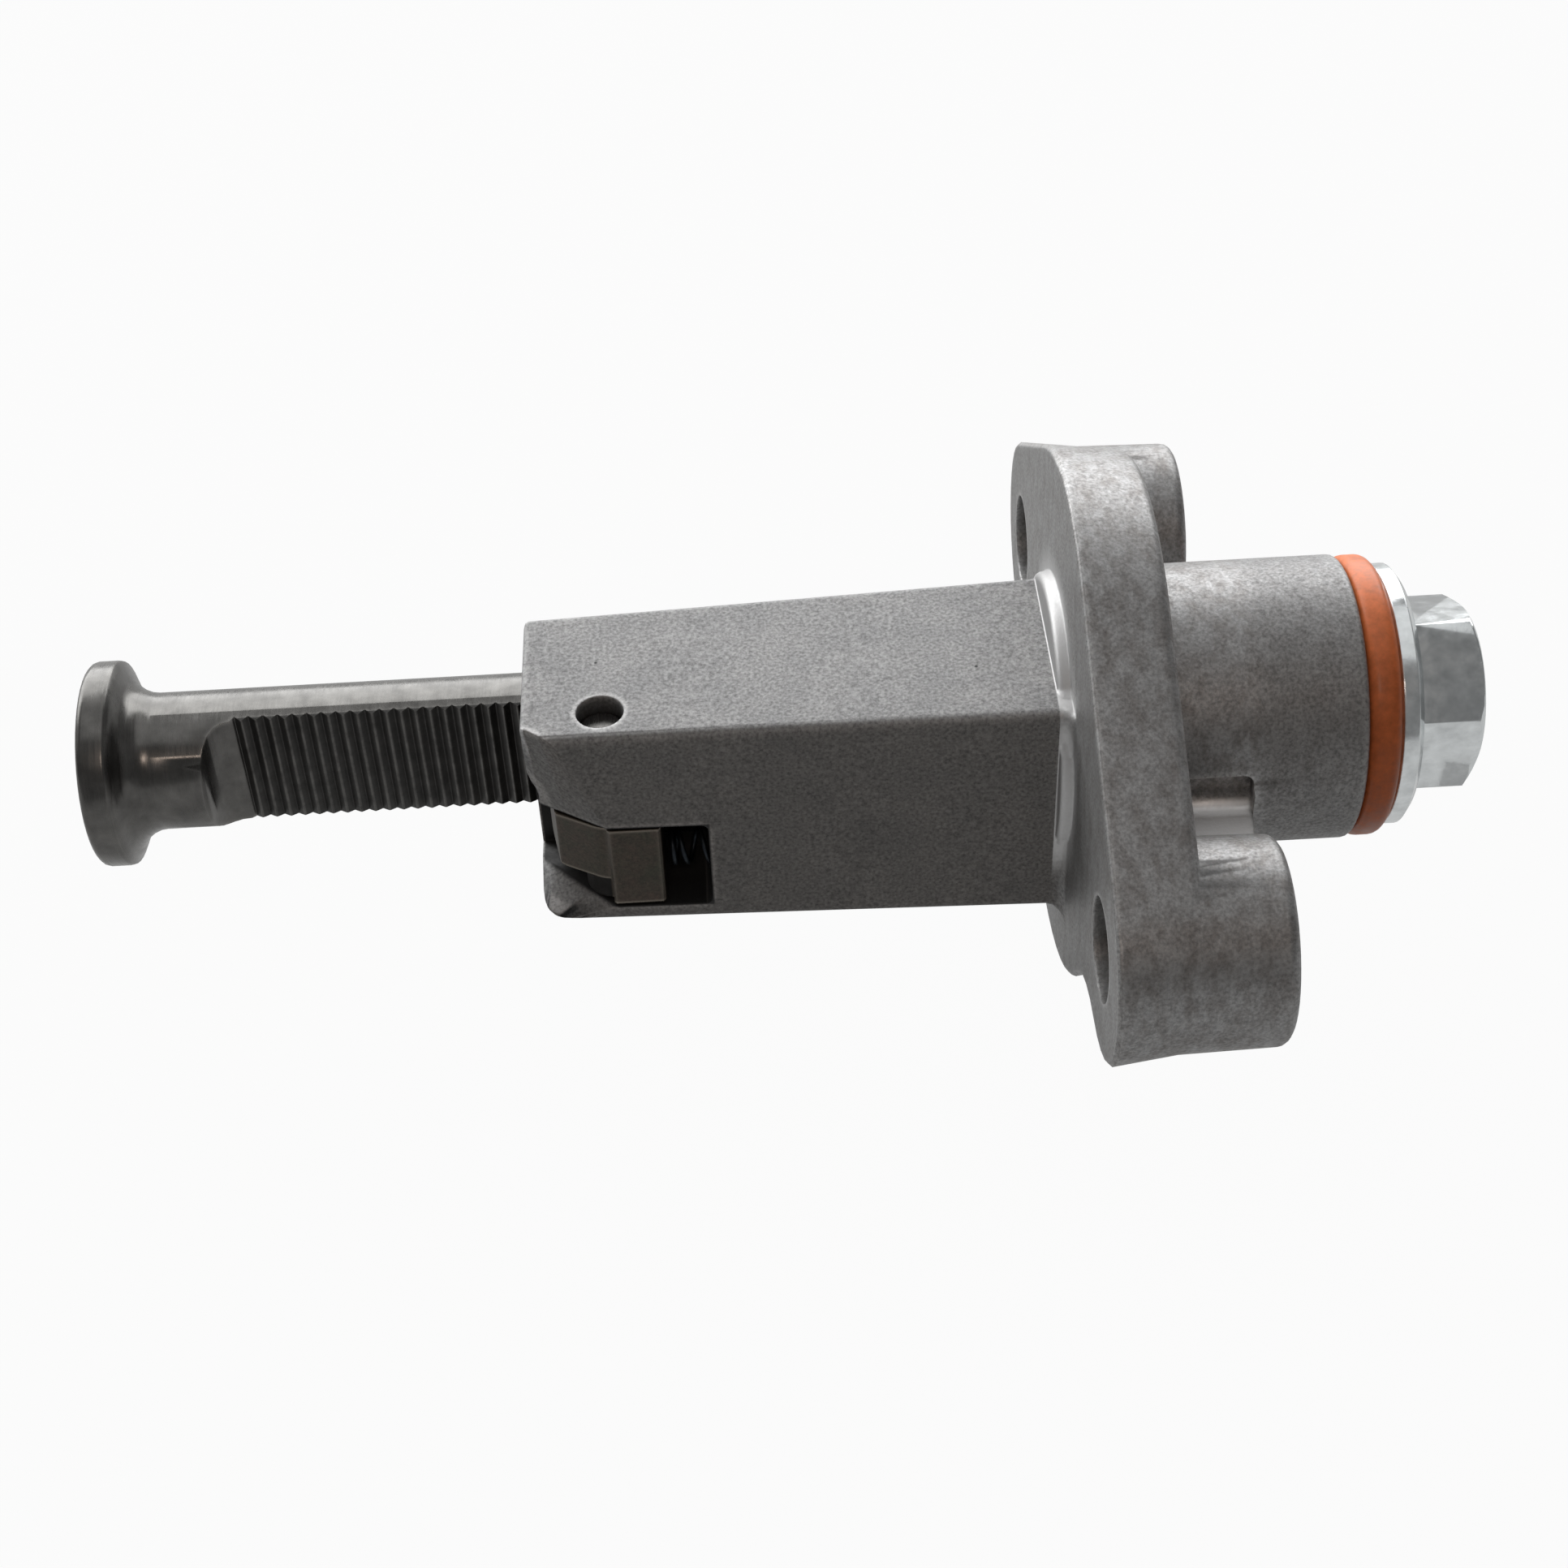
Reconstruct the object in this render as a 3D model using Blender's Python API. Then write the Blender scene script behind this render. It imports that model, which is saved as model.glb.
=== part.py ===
"""Ratchet timing chain tensioner.

A die-cast housing holds a spring-loaded toothed plunger, a pawl on a pin that locks
into the plunger's teeth, and a hex plug bolt with a sealing ring that closes the back.

Frame: X runs along the plunger, with the plunger's pad toward -X and the plug toward +X.
Z is up, out of the face that carries the pivot pin. The front, with the pawl's window,
faces -Y. The origin is on the plunger's axis, in the plane of the mounting flange's face.
"""

import math

import bmesh
import bpy
from mathutils import Matrix, Vector

MM = 0.001

# Fits
SEAT_GAP = 0.3
RUNNING_GAP = 0.1

# Plunger
PLUNGER_R = 4.8
PAD_FACE_X = -67.2
PAD_THICKNESS = 2.3
PAD_R = 7.2
PAD_EDGE_R = 0.5
NECK_FILLET = 2.2
FLAT_START_X = -59.3
FLAT_RUN_OUT = 2.0
RACK_DEPTH = PLUNGER_R - 1.5
TOOTH_PITCH = 1.0
TOOTH_DEPTH = 0.35
TOOTH_FLANK = 0.4
TOOTH_LAND = 0.08
TOOTH_COUNT = 28
SHOULDER_RELIEF = 2.0
GUIDE_LENGTH = 16.7
SPRING_BORE_R = PLUNGER_R - 1.4
SPRING_BORE_DEPTH = 13.5
PLUNGER_TRAVEL = 21 * TOOTH_PITCH

# Housing guide block
BLOCK_END_X = -37.0
BLOCK_FRONT_Y = -8.43
BLOCK_BACK_Y = 6.6
BLOCK_TOP_Z = 7.14
BLOCK_BOTTOM_Z = -11.1
DRAFT_FRONT = 0.026
DRAFT_BACK = 0.020
DRAFT_TOP = 0.021
DRAFT_BOTTOM = 0.008
BLOCK_CORNER_R = 0.7
BLOCK_END_EDGE = 0.3
ROOT_FILLET = 1.2

# Housing flange, with one ear toward the front and one toward the back
FLANGE_THICKNESS = 5.8
FLANGE_R = 18.7
FLANGE_DRAFT = 0.12
FLANGE_EDGE_R = 0.9
EAR_FRONT_Y = -23.2
EAR_BACK_Y = 19.8
EAR_R = 7.5
EAR_ROOT_FILLET = 8.0
BOSS_R = 7.0
BOSS_DRAFT = 0.02
BOSS_LENGTH = 11.5
BOSS_EDGE_R = 0.8
BOLT_HOLE_R = 3.5
REGISTER_R = 9.9
REGISTER_HEIGHT = 0.9
REGISTER_EDGE_R = 0.5

# Housing spigot, which the plug bolt screws into
SPIGOT_R = 10.0
SPIGOT_END_X = 19.95
SPIGOT_EDGE_R = 0.4
SPIGOT_ROOT_FILLET = 0.8
WEB_END_X = 12.2
WEB_TOP_Z = -1.0
WEB_BOTTOM_Z = -4.0
WEB_FILLET_R = 1.6
POCKET_TOP_Z = 1.9
POCKET_WALL_Y = -9.0
POCKET_CORNER_R = 0.7
PLUG_BORE_R = 7.3
PLUG_BORE_END_X = 12.0

# Pawl, its slot and its pivot pin
PIVOT_X = BLOCK_END_X + 5.4
PIVOT_Y = -4.83
PIN_R = 1.5
PIN_RECESS_TOP = 1.3
PIN_RECESS_BOTTOM = 0.7
PIN_HOLE_R = PIN_R + 0.15
SLOT_TOP_Z = -1.8
SLOT_BOTTOM_Z = -9.4
SLOT_END_X = PIVOT_X + 6.8
SLOT_BACK_Y = -0.4
SLOT_CORNER_R = 0.5
UPPER_CUT_TOP_LEGS = (2.1, 1.6)
UPPER_CUT_LOW_LEGS = (5.0, 3.2)
LOWER_CUT_LEGS = (5.3, 5.4)
LOWER_CORNER_R = 2.8
PAWL_TOP_Z = SLOT_TOP_Z - SEAT_GAP
PAWL_BOTTOM_Z = SLOT_BOTTOM_Z + SEAT_GAP
PAWL_HUB_R = 2.35
PAWL_HEEL_R = 2.1
PAWL_FACE_DEG = 241.0
PAWL_FACE_LENGTH = 2.95
ARM_BOTTOM_Z = -7.0
ARM_CORNER_R = 1.1
PAWL_TOOTH_COUNT = 2
PAWL_TOOTH_HEIGHT = 0.3
PAWL_LIFT_DEG = 12.0
PAWL_TIP_GAP = 0.12
PAWL_SIDE_GAP = 0.075
TAB_X = (PIVOT_X - 0.2, PIVOT_X + 3.5)
TAB_FACE_Y = -7.6
TAB_BACK_Y = -2.3
MESH_START_X = PIVOT_X - 3.7

# Springs
MAIN_WIRE_R = 0.38
MAIN_COIL_R = SPRING_BORE_R - MAIN_WIRE_R - 0.17
MAIN_TURNS = 17
PAWL_COIL_R = 1.15
PAWL_WIRE_R = 0.2
PAWL_TURNS = 6
PAWL_SPRING_Y = -5.4
PAWL_SPRING_Z = -5.9
PAWL_SPRING_HOLE_R = 1.55
PAWL_SPRING_HOLE_END_X = SLOT_END_X + 4.4

# Plug bolt and sealing ring
RING_THICKNESS = 1.7
RING_R = 9.9
RING_BORE_R = 7.35
RING_EDGE_R = 0.55
COLLAR_R = 9.2
COLLAR_THICKNESS = 1.8
COLLAR_CHAMFER = 0.6
HEX_ACROSS_FLATS = 12.0
HEX_HEIGHT = 4.9
HEX_TURN_DEG = 7.5
HEX_CHAMFER_DEG = 30.0
HEX_FACE_RATIO = 0.94
SHANK_R = PLUG_BORE_R - SEAT_GAP
SHANK_END_X = PLUG_BORE_END_X + 0.5
SHANK_CHAMFER = 0.8
PLUG_BORE_DEPTH = 4.2

# Facets round a full circle
FINE = 64
MEDIUM = 48
SMALL = 28
CUT_STEPS = 6
HEX_SIDE_STEPS = 8
COIL_STEPS = 12
WIRE_SIDES = 6

AXIS_X = Vector((1.0, 0.0, 0.0))
AXIS_Z = Vector((0.0, 0.0, 1.0))


def clear_scene():
    for old in list(bpy.data.objects):
        bpy.data.objects.remove(old, do_unlink=True)


def make_material(name, colour, roughness, metallic):
    material = bpy.data.materials.new(name)
    material.use_nodes = True
    shader = material.node_tree.nodes["Principled BSDF"]
    shader.inputs["Base Color"].default_value = (*colour, 1.0)
    shader.inputs["Roughness"].default_value = roughness
    shader.inputs["Metallic"].default_value = metallic
    material.diffuse_color = (*colour, 1.0)
    return material


def add_object(name, bm, material=None, origin=(0.0, 0.0, 0.0)):
    """Turn a bmesh in millimetres into an object in metres, with its origin at a point."""
    bmesh.ops.recalc_face_normals(bm, faces=bm.faces)
    shift = Matrix.Translation(-Vector(origin))
    bmesh.ops.transform(bm, matrix=Matrix.Scale(MM, 4) @ shift, verts=bm.verts)
    mesh = bpy.data.meshes.new(name)
    bm.to_mesh(mesh)
    bm.free()
    mesh.shade_smooth()
    mesh.set_sharp_from_angle(angle=math.radians(30.0))
    new = bpy.data.objects.new(name, mesh)
    new.location = Vector(origin) * MM
    if material is not None:
        mesh.materials.append(material)
    bpy.context.scene.collection.objects.link(new)
    return new


def make_tool(piece):
    piece.hide_render = True
    piece.display_type = 'WIRE'
    return piece


def combine(target, tool, operation):
    """Join a shape to the target, or cut it away, as a live Boolean."""
    make_tool(tool)
    modifier = target.modifiers.new(tool.name, 'BOOLEAN')
    modifier.operation = operation
    modifier.solver = 'EXACT'
    modifier.object = tool


def revolve(profile, facets, axis_offset=(0.0, 0.0)):
    """Spin (x, radius) points about the X axis, or a line beside it, into a solid."""
    bm = bmesh.new()
    verts = [bm.verts.new((x, radius, 0.0)) for x, radius in profile]
    pairs = [(verts[i - 1], verts[i]) for i in range(len(verts))]
    edges = [bm.edges.new(pair) for pair in pairs if max(vert.co.y for vert in pair) > 0.0]
    bmesh.ops.spin(bm, geom=verts + edges, cent=(0.0, 0.0, 0.0), axis=AXIS_X,
                   angle=2.0 * math.pi, steps=facets, use_merge=True)
    bmesh.ops.remove_doubles(bm, verts=bm.verts, dist=1e-4)
    bmesh.ops.translate(bm, vec=(0.0, *axis_offset), verts=bm.verts)
    return bm


def loft(rings):
    """Bridge closed rings of points, each with as many points, and cap both ends."""
    bm = bmesh.new()
    loops = []
    for ring in rings:
        verts = [bm.verts.new(point) for point in ring]
        loops.append([bm.edges.new((verts[i - 1], verts[i])) for i in range(len(verts))])
    for first, second in zip(loops, loops[1:]):
        bmesh.ops.bridge_loops(bm, edges=first + second)
    for end in (loops[0], loops[-1]):
        bmesh.ops.edgeloop_fill(bm, edges=end)
    return bm


def arc(centre, radius, start_deg, end_deg, steps):
    """Points on an arc in a plane, from one angle to another."""
    points = []
    for i in range(steps + 1):
        angle = math.radians(start_deg + (end_deg - start_deg) * i / steps)
        points.append((centre[0] + radius * math.cos(angle), centre[1] + radius * math.sin(angle)))
    return points


def rounded_rectangle(low, high, radius, steps=4):
    corners = ((high[0] - radius, high[1] - radius, 0), (low[0] + radius, high[1] - radius, 90),
               (low[0] + radius, low[1] + radius, 180), (high[0] - radius, low[1] + radius, 270))
    points = []
    for a, b, start in corners:
        points += arc((a, b), radius, start, start + 90, steps)
    return points


def quarter_round(x_corner, r_corner, radius, steps=4):
    """Profile points that round an outer edge, from the side wall to the end face."""
    centre = (x_corner - radius, r_corner - radius)
    return [(centre[0] + radius * math.sin(t), centre[1] + radius * math.cos(t))
            for t in (math.radians(90.0 * i / steps) for i in range(steps + 1))]


def cylinder(start, end, radius, facets):
    """A plain round bar along X or Z between two points."""
    start, end = Vector(start), Vector(end)
    bm = bmesh.new()
    bmesh.ops.create_cone(bm, cap_ends=True, segments=facets, radius1=radius, radius2=radius,
                          depth=(end - start).length)
    turn = AXIS_Z.rotation_difference(end - start).to_matrix().to_4x4()
    bmesh.ops.transform(bm, matrix=Matrix.Translation((start + end) / 2.0) @ turn, verts=bm.verts)
    return bm


def coil(start_x, end_x, centre, coil_r, wire_r, turns):
    """A compression spring along X, with its last turns closed against their seats."""
    steps = turns * COIL_STEPS
    closed_turns = 1.2
    closed_pitch = 2.0 * wire_r + 0.06
    length = end_x - start_x - 2.0 * wire_r
    open_turns = turns - 2.0 * closed_turns
    open_pitch = (length - 2.0 * closed_turns * closed_pitch) / open_turns
    rings = []
    for i in range(steps + 1):
        turn = turns * i / steps
        x = start_x + wire_r + closed_pitch * min(turn, closed_turns)
        x += open_pitch * min(max(turn - closed_turns, 0.0), open_turns)
        x += closed_pitch * max(turn - closed_turns - open_turns, 0.0)
        angle = 2.0 * math.pi * turn
        ring = []
        for side in range(WIRE_SIDES):
            around = 2.0 * math.pi * side / WIRE_SIDES
            radius = coil_r + wire_r * math.cos(around)
            ring.append((x + wire_r * math.sin(around), centre[0] + radius * math.cos(angle),
                         centre[1] + radius * math.sin(angle)))
        rings.append(ring)
    return loft(rings)


# Plunger

def rack_start_x():
    return FLAT_START_X + FLAT_RUN_OUT + 0.4


def guide_start_x():
    return rack_start_x() + TOOTH_COUNT * TOOTH_PITCH + SHOULDER_RELIEF


def plunger_end_x():
    return guide_start_x() + GUIDE_LENGTH


def tooth_outline(first_x, count, depth, flank, land):
    """A row of ratchet teeth as (x, height) points, with height 0 at the roots.

    Each tooth climbs gently toward +X, has a short land, and drops over a short flank.
    """
    points = []
    ramp = TOOTH_PITCH - flank - land
    for i in range(count):
        x = first_x + i * TOOTH_PITCH
        points += [(x, 0.0), (x + ramp - land, depth), (x + ramp, depth), (x + ramp + flank, 0.0)]
    return points


def plunger_body():
    neck_x = PAD_FACE_X + PAD_THICKNESS
    fillet = [(neck_x + NECK_FILLET * (1.0 - math.cos(t)), PLUNGER_R + NECK_FILLET * (1.0 - math.sin(t)))
              for t in (math.radians(90.0 * i / 6) for i in range(1, 7))]
    face_round = [(PAD_FACE_X + PAD_EDGE_R * (1.0 - math.cos(t)), PAD_R - PAD_EDGE_R * (1.0 - math.sin(t)))
                  for t in (math.radians(30.0 * i) for i in range(4))]
    back_round = [(neck_x - PAD_EDGE_R * (1.0 - math.sin(t)), PAD_R - PAD_EDGE_R * (1.0 - math.cos(t)))
                  for t in (math.radians(30.0 * i) for i in range(4))]
    back_round = [(x, r) for x, r in back_round if r > PLUNGER_R + NECK_FILLET]
    end_x = plunger_end_x()
    bore_x = end_x - SPRING_BORE_DEPTH
    profile = [(PAD_FACE_X, 0.0)] + face_round + back_round + fillet
    profile += [(end_x - 0.5, PLUNGER_R), (end_x, PLUNGER_R - 0.5), (end_x, SPRING_BORE_R + 0.3),
                (end_x - 0.3, SPRING_BORE_R), (bore_x, SPRING_BORE_R),
                (bore_x - SPRING_BORE_R * 0.5, 0.0)]
    return revolve(profile, MEDIUM)


def rack_cutter():
    """The milled flat with its run-out, its teeth and its square rear shoulder."""
    land_y = RACK_DEPTH - PLUNGER_R
    root_y = land_y + TOOTH_DEPTH
    outside = -PLUNGER_R - 2.0
    first = rack_start_x()
    teeth = tooth_outline(first, TOOTH_COUNT, TOOTH_DEPTH, TOOTH_FLANK, TOOTH_LAND)
    outline = [(FLAT_START_X - 1.2, outside), (FLAT_START_X, -PLUNGER_R)]
    outline += [(FLAT_START_X + FLAT_RUN_OUT * (1.0 - math.cos(t)),
                 land_y - (PLUNGER_R + land_y) * (1.0 - math.sin(t)))
                for t in (math.radians(15.0 * i) for i in range(1, 6))]
    outline += [(first - 0.3, land_y)]
    outline += [(x, root_y - height) for x, height in teeth]
    outline += [(guide_start_x(), root_y), (guide_start_x(), outside)]
    return loft([[(x, y, z) for x, y in outline] for z in (-PLUNGER_R - 1.0, PLUNGER_R + 1.0)])


def make_plunger(material):
    plunger = add_object("plunger", plunger_body(), material)
    combine(plunger, add_object("rack_cutter", rack_cutter()), 'DIFFERENCE')
    return plunger


# Housing

def block_faces(x):
    """Front, back, top and bottom of the drafted guide block at a station along X."""
    return (BLOCK_FRONT_Y - DRAFT_FRONT * x, BLOCK_BACK_Y + DRAFT_BACK * x,
            BLOCK_TOP_Z + DRAFT_TOP * x, BLOCK_BOTTOM_Z - DRAFT_BOTTOM * x)


def block_ring(x, shrink=0.0, flare=0.0):
    front, back, top, bottom = block_faces(x)
    low = (front + shrink - flare, bottom + shrink - flare)
    high = (back - shrink + flare, top - shrink)
    return [(x, y, z) for y, z in rounded_rectangle(low, high, BLOCK_CORNER_R)]


def guide_block():
    """The long block, with a rounded end and a cast fillet where it meets the flange."""
    rings = [block_ring(BLOCK_END_X, shrink=BLOCK_END_EDGE),
             block_ring(BLOCK_END_X + BLOCK_END_EDGE * 0.3, shrink=BLOCK_END_EDGE * 0.3),
             block_ring(BLOCK_END_X + BLOCK_END_EDGE)]
    for i in range(5):
        t = math.radians(90.0 * i / 4)
        rings.append(block_ring(-ROOT_FILLET * (1.0 - math.sin(t)), flare=ROOT_FILLET * (1.0 - math.cos(t))))
    rings.append(block_ring(FLANGE_THICKNESS * 0.4, flare=ROOT_FILLET))
    return loft(rings)


def tangent_angle(offset, small_r, large_r):
    """Angle, seen from the large circle's centre, where a line touches both circles."""
    return math.degrees(math.acos((large_r - small_r) / offset))


def fillet_centre(offset, small_r, large_r, radius):
    """Centre of a fillet that touches two circles, below the line between their centres."""
    reach, near = large_r + radius, small_r + radius
    along = (offset ** 2 + reach ** 2 - near ** 2) / (2.0 * offset)
    return along, -math.sqrt(reach ** 2 - along ** 2)


def flange_side(offset, inset):
    """Half the flange's outline, from the top round one ear to the bottom, ear toward +.

    The top edge is a straight tangent, and the bottom has a fillet beside the ear.
    """
    large, small, hollow = FLANGE_R - inset, EAR_R - inset, EAR_ROOT_FILLET + inset
    touch = tangent_angle(offset, small, large)
    along, below = fillet_centre(offset, small, large, hollow)
    to_centre = math.degrees(math.atan2(below, along))
    to_ear = math.degrees(math.atan2(-below, offset - along))
    points = arc((0.0, 0.0), large, 90.0, touch, 4)
    points += arc((offset, 0.0), small, touch, to_ear - 180.0 + 360.0 * (to_ear > 180.0), 12)
    points += arc((along, below), hollow, to_ear, to_centre + 180.0, 5)[1:-1]
    points += arc((0.0, 0.0), large, to_centre, -90.0, 8)
    return points


def flange_ring(x, inset):
    back = flange_side(EAR_BACK_Y, inset)
    front = [(-y, z) for y, z in flange_side(-EAR_FRONT_Y, inset)]
    outline = back + front[-2:0:-1]
    return [(x, y, z) for y, z in outline]


def flange_plate():
    rings = [flange_ring(0.0, 0.25), flange_ring(0.25, 0.0)]
    side_end = FLANGE_THICKNESS - FLANGE_EDGE_R
    draft = FLANGE_DRAFT * side_end
    for i in range(5):
        t = math.radians(90.0 * i / 4)
        rings.append(flange_ring(side_end + FLANGE_EDGE_R * math.sin(t),
                                 draft + FLANGE_EDGE_R * (1.0 - math.cos(t))))
    return loft(rings)


def ear_boss(centre_y):
    start = FLANGE_THICKNESS * 0.5
    end_r = BOSS_R - BOSS_DRAFT * (BOSS_LENGTH - start)
    profile = [(start, 0.0), (start, BOSS_R)]
    profile += quarter_round(BOSS_LENGTH, end_r, BOSS_EDGE_R)
    profile += [(BOSS_LENGTH, 0.0)]
    return revolve(profile, MEDIUM, (centre_y, 0.0))


def register_disc():
    """The thin turned step that centres the flange."""
    profile = [(-REGISTER_HEIGHT, 0.0)]
    profile += [(REGISTER_EDGE_R * (1.0 - math.cos(t)) - REGISTER_HEIGHT,
                 REGISTER_R - REGISTER_EDGE_R * (1.0 - math.sin(t)))
                for t in (math.radians(22.5 * i) for i in range(5))]
    profile += [(-0.1, REGISTER_R + 0.1), (FLANGE_THICKNESS * 0.3, REGISTER_R + 0.4),
                (FLANGE_THICKNESS * 0.3, 0.0)]
    return revolve(profile, FINE)


def spigot():
    root = FLANGE_THICKNESS
    profile = [(root * 0.6, 0.0), (root * 0.6, SPIGOT_R + SPIGOT_ROOT_FILLET)]
    profile += [(root + SPIGOT_ROOT_FILLET * (1.0 - math.cos(t)),
                 SPIGOT_R + SPIGOT_ROOT_FILLET * (1.0 - math.sin(t)))
                for t in (math.radians(22.5 * i) for i in range(5))]
    profile += quarter_round(SPIGOT_END_X, SPIGOT_R, SPIGOT_EDGE_R)
    profile += [(SPIGOT_END_X, 0.0)]
    return revolve(profile, FINE)


def slot_cutter():
    """The pawl's slot: open to the front and to the block's end, with round back corners."""
    outline = rounded_rectangle((BLOCK_END_X - 8.0, SLOT_BOTTOM_Z), (SLOT_END_X, SLOT_TOP_Z),
                                SLOT_CORNER_R)
    return loft([[(x, y, z) for x, z in outline] for y in (BLOCK_FRONT_Y - 3.0, SLOT_BACK_Y)])


def straight_cut(leg_x, leg_y):
    """Points on a slanting line across the block's front end corner."""
    front = block_faces(BLOCK_END_X)[0]
    parts = [i / CUT_STEPS for i in range(CUT_STEPS + 1)]
    return [(BLOCK_END_X + leg_x * (1.0 - part), front + leg_y * part) for part in parts]


def round_cut(radius):
    """As many points on an arc that rounds the same corner."""
    front = block_faces(BLOCK_END_X)[0]
    return arc((BLOCK_END_X + radius, front + radius), radius, 262.0, 188.0, CUT_STEPS)


def corner_ring(curve, z):
    """All that lies outside a cut, with the cut's ends run on past the block's faces."""
    reach = 5.0
    first, last = Vector(curve[0]), Vector(curve[-1])
    before = first + (first - Vector(curve[1])).normalized() * reach
    after = last + (last - Vector(curve[-2])).normalized() * reach
    outside = (BLOCK_END_X - 2.0 * reach, BLOCK_FRONT_Y - 2.0 * reach)
    return [(x, y, z) for x, y in [before, *curve, after, outside]]


def upper_corner_cutter():
    """The slanted cut above the slot, which widens downward."""
    top, low = block_faces(BLOCK_END_X)[2], SLOT_TOP_Z
    rings = []
    for z in (BLOCK_TOP_Z + 1.0, (SLOT_TOP_Z + SLOT_BOTTOM_Z) / 2.0):
        part = (z - low) / (top - low)
        legs = [wide + (narrow - wide) * part
                for wide, narrow in zip(UPPER_CUT_LOW_LEGS, UPPER_CUT_TOP_LEGS)]
        rings.append(corner_ring(straight_cut(*legs), z))
    return loft(rings)


def lower_corner_cutter():
    """The cut below the slot, which turns into a plain round corner at the bottom."""
    straight, rounded = straight_cut(*LOWER_CUT_LEGS), round_cut(LOWER_CORNER_R)
    bottom = block_faces(BLOCK_END_X)[3]
    return loft([corner_ring(straight, (SLOT_TOP_Z + SLOT_BOTTOM_Z) / 2.0),
                 corner_ring(straight, SLOT_BOTTOM_Z), corner_ring(rounded, bottom),
                 corner_ring(rounded, bottom - 1.0)])


def housing_bore():
    """The plunger's bore and the larger bore that takes the plug bolt."""
    bore_r = PLUNGER_R + RUNNING_GAP
    profile = [(BLOCK_END_X - 1.0, 0.0), (BLOCK_END_X - 1.0, bore_r + 1.2),
               (BLOCK_END_X + 0.2, bore_r), (PLUG_BORE_END_X - 1.0, bore_r),
               (PLUG_BORE_END_X, PLUG_BORE_R), (SPIGOT_END_X - 0.5, PLUG_BORE_R),
               (SPIGOT_END_X + 1.0, PLUG_BORE_R + 1.5), (SPIGOT_END_X + 1.0, 0.0)]
    return revolve(profile, MEDIUM)


def spigot_web():
    """The low web that ties the spigot to the front boss, and ends just short of its end."""
    start_x, boss_x = FLANGE_THICKNESS * 0.5, BOSS_LENGTH - 0.2
    boss_y, spigot_y = EAR_FRONT_Y + BOSS_R * 0.7, POCKET_WALL_Y + 1.0
    outline = [(start_x, boss_y), (boss_x, boss_y), (WEB_END_X + 0.3, spigot_y), (start_x, spigot_y)]
    heights = (WEB_BOTTOM_Z, WEB_TOP_Z + WEB_FILLET_R)
    return loft([[(x, y, z) for x, y in outline] for z in heights])


def web_pocket():
    """The scoop above the web: a wall in the spigot that curves out into the web's top."""
    far_y = EAR_FRONT_Y - BOSS_R
    centre = (POCKET_WALL_Y - WEB_FILLET_R, WEB_TOP_Z + WEB_FILLET_R)
    curve = arc(centre, WEB_FILLET_R, 0.0, -90.0, 6)
    rings = []
    for x, drop in [(FLANGE_THICKNESS, 0.0)] + [
            (WEB_END_X - POCKET_CORNER_R * (1.0 - math.sin(t)), POCKET_CORNER_R * (1.0 - math.cos(t)))
            for t in (math.radians(22.5 * i) for i in range(5))]:
        outline = [(far_y, POCKET_TOP_Z - drop), (POCKET_WALL_Y, POCKET_TOP_Z - drop)]
        outline += curve + [(far_y, WEB_TOP_Z)]
        rings.append([(x, y, z) for y, z in outline])
    return loft(rings)


def make_housing(material):
    housing = add_object("housing", flange_plate(), material)
    combine(housing, add_object("spigot_web", spigot_web()), 'UNION')
    combine(housing, add_object("spigot", spigot()), 'UNION')
    combine(housing, add_object("web_pocket", web_pocket()), 'DIFFERENCE')
    shapes = {
        "guide_block": guide_block(), "register_disc": register_disc(),
        "front_boss": ear_boss(EAR_FRONT_Y), "back_boss": ear_boss(EAR_BACK_Y),
    }
    for name, shape in shapes.items():
        combine(housing, add_object(name, shape), 'UNION')
    cuts = {
        "housing_bore": housing_bore(), "pawl_slot": slot_cutter(),
        "upper_corner_cut": upper_corner_cutter(), "lower_corner_cut": lower_corner_cutter(),
        "pin_hole": cylinder((PIVOT_X, PIVOT_Y, BLOCK_BOTTOM_Z - 1.0),
                             (PIVOT_X, PIVOT_Y, BLOCK_TOP_Z + 1.0), PIN_HOLE_R, SMALL),
        "spring_hole": cylinder((SLOT_END_X - 1.0, PAWL_SPRING_Y, PAWL_SPRING_Z),
                                (PAWL_SPRING_HOLE_END_X, PAWL_SPRING_Y, PAWL_SPRING_Z),
                                PAWL_SPRING_HOLE_R, SMALL),
        "front_bolt_hole": cylinder((-1.0, EAR_FRONT_Y, 0.0), (BOSS_LENGTH + 1.0, EAR_FRONT_Y, 0.0),
                                    BOLT_HOLE_R, SMALL),
        "back_bolt_hole": cylinder((-1.0, EAR_BACK_Y, 0.0), (BOSS_LENGTH + 1.0, EAR_BACK_Y, 0.0),
                                   BOLT_HOLE_R, SMALL),
    }
    for name, shape in cuts.items():
        combine(housing, add_object(name, shape), 'DIFFERENCE')
    return housing


# Pawl and pin

def turn_about_pivot(point, degrees):
    angle = math.radians(degrees)
    dx, dy = point[0] - PIVOT_X, point[1] - PIVOT_Y
    return (PIVOT_X + dx * math.cos(angle) - dy * math.sin(angle),
            PIVOT_Y + dx * math.sin(angle) + dy * math.cos(angle))


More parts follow.
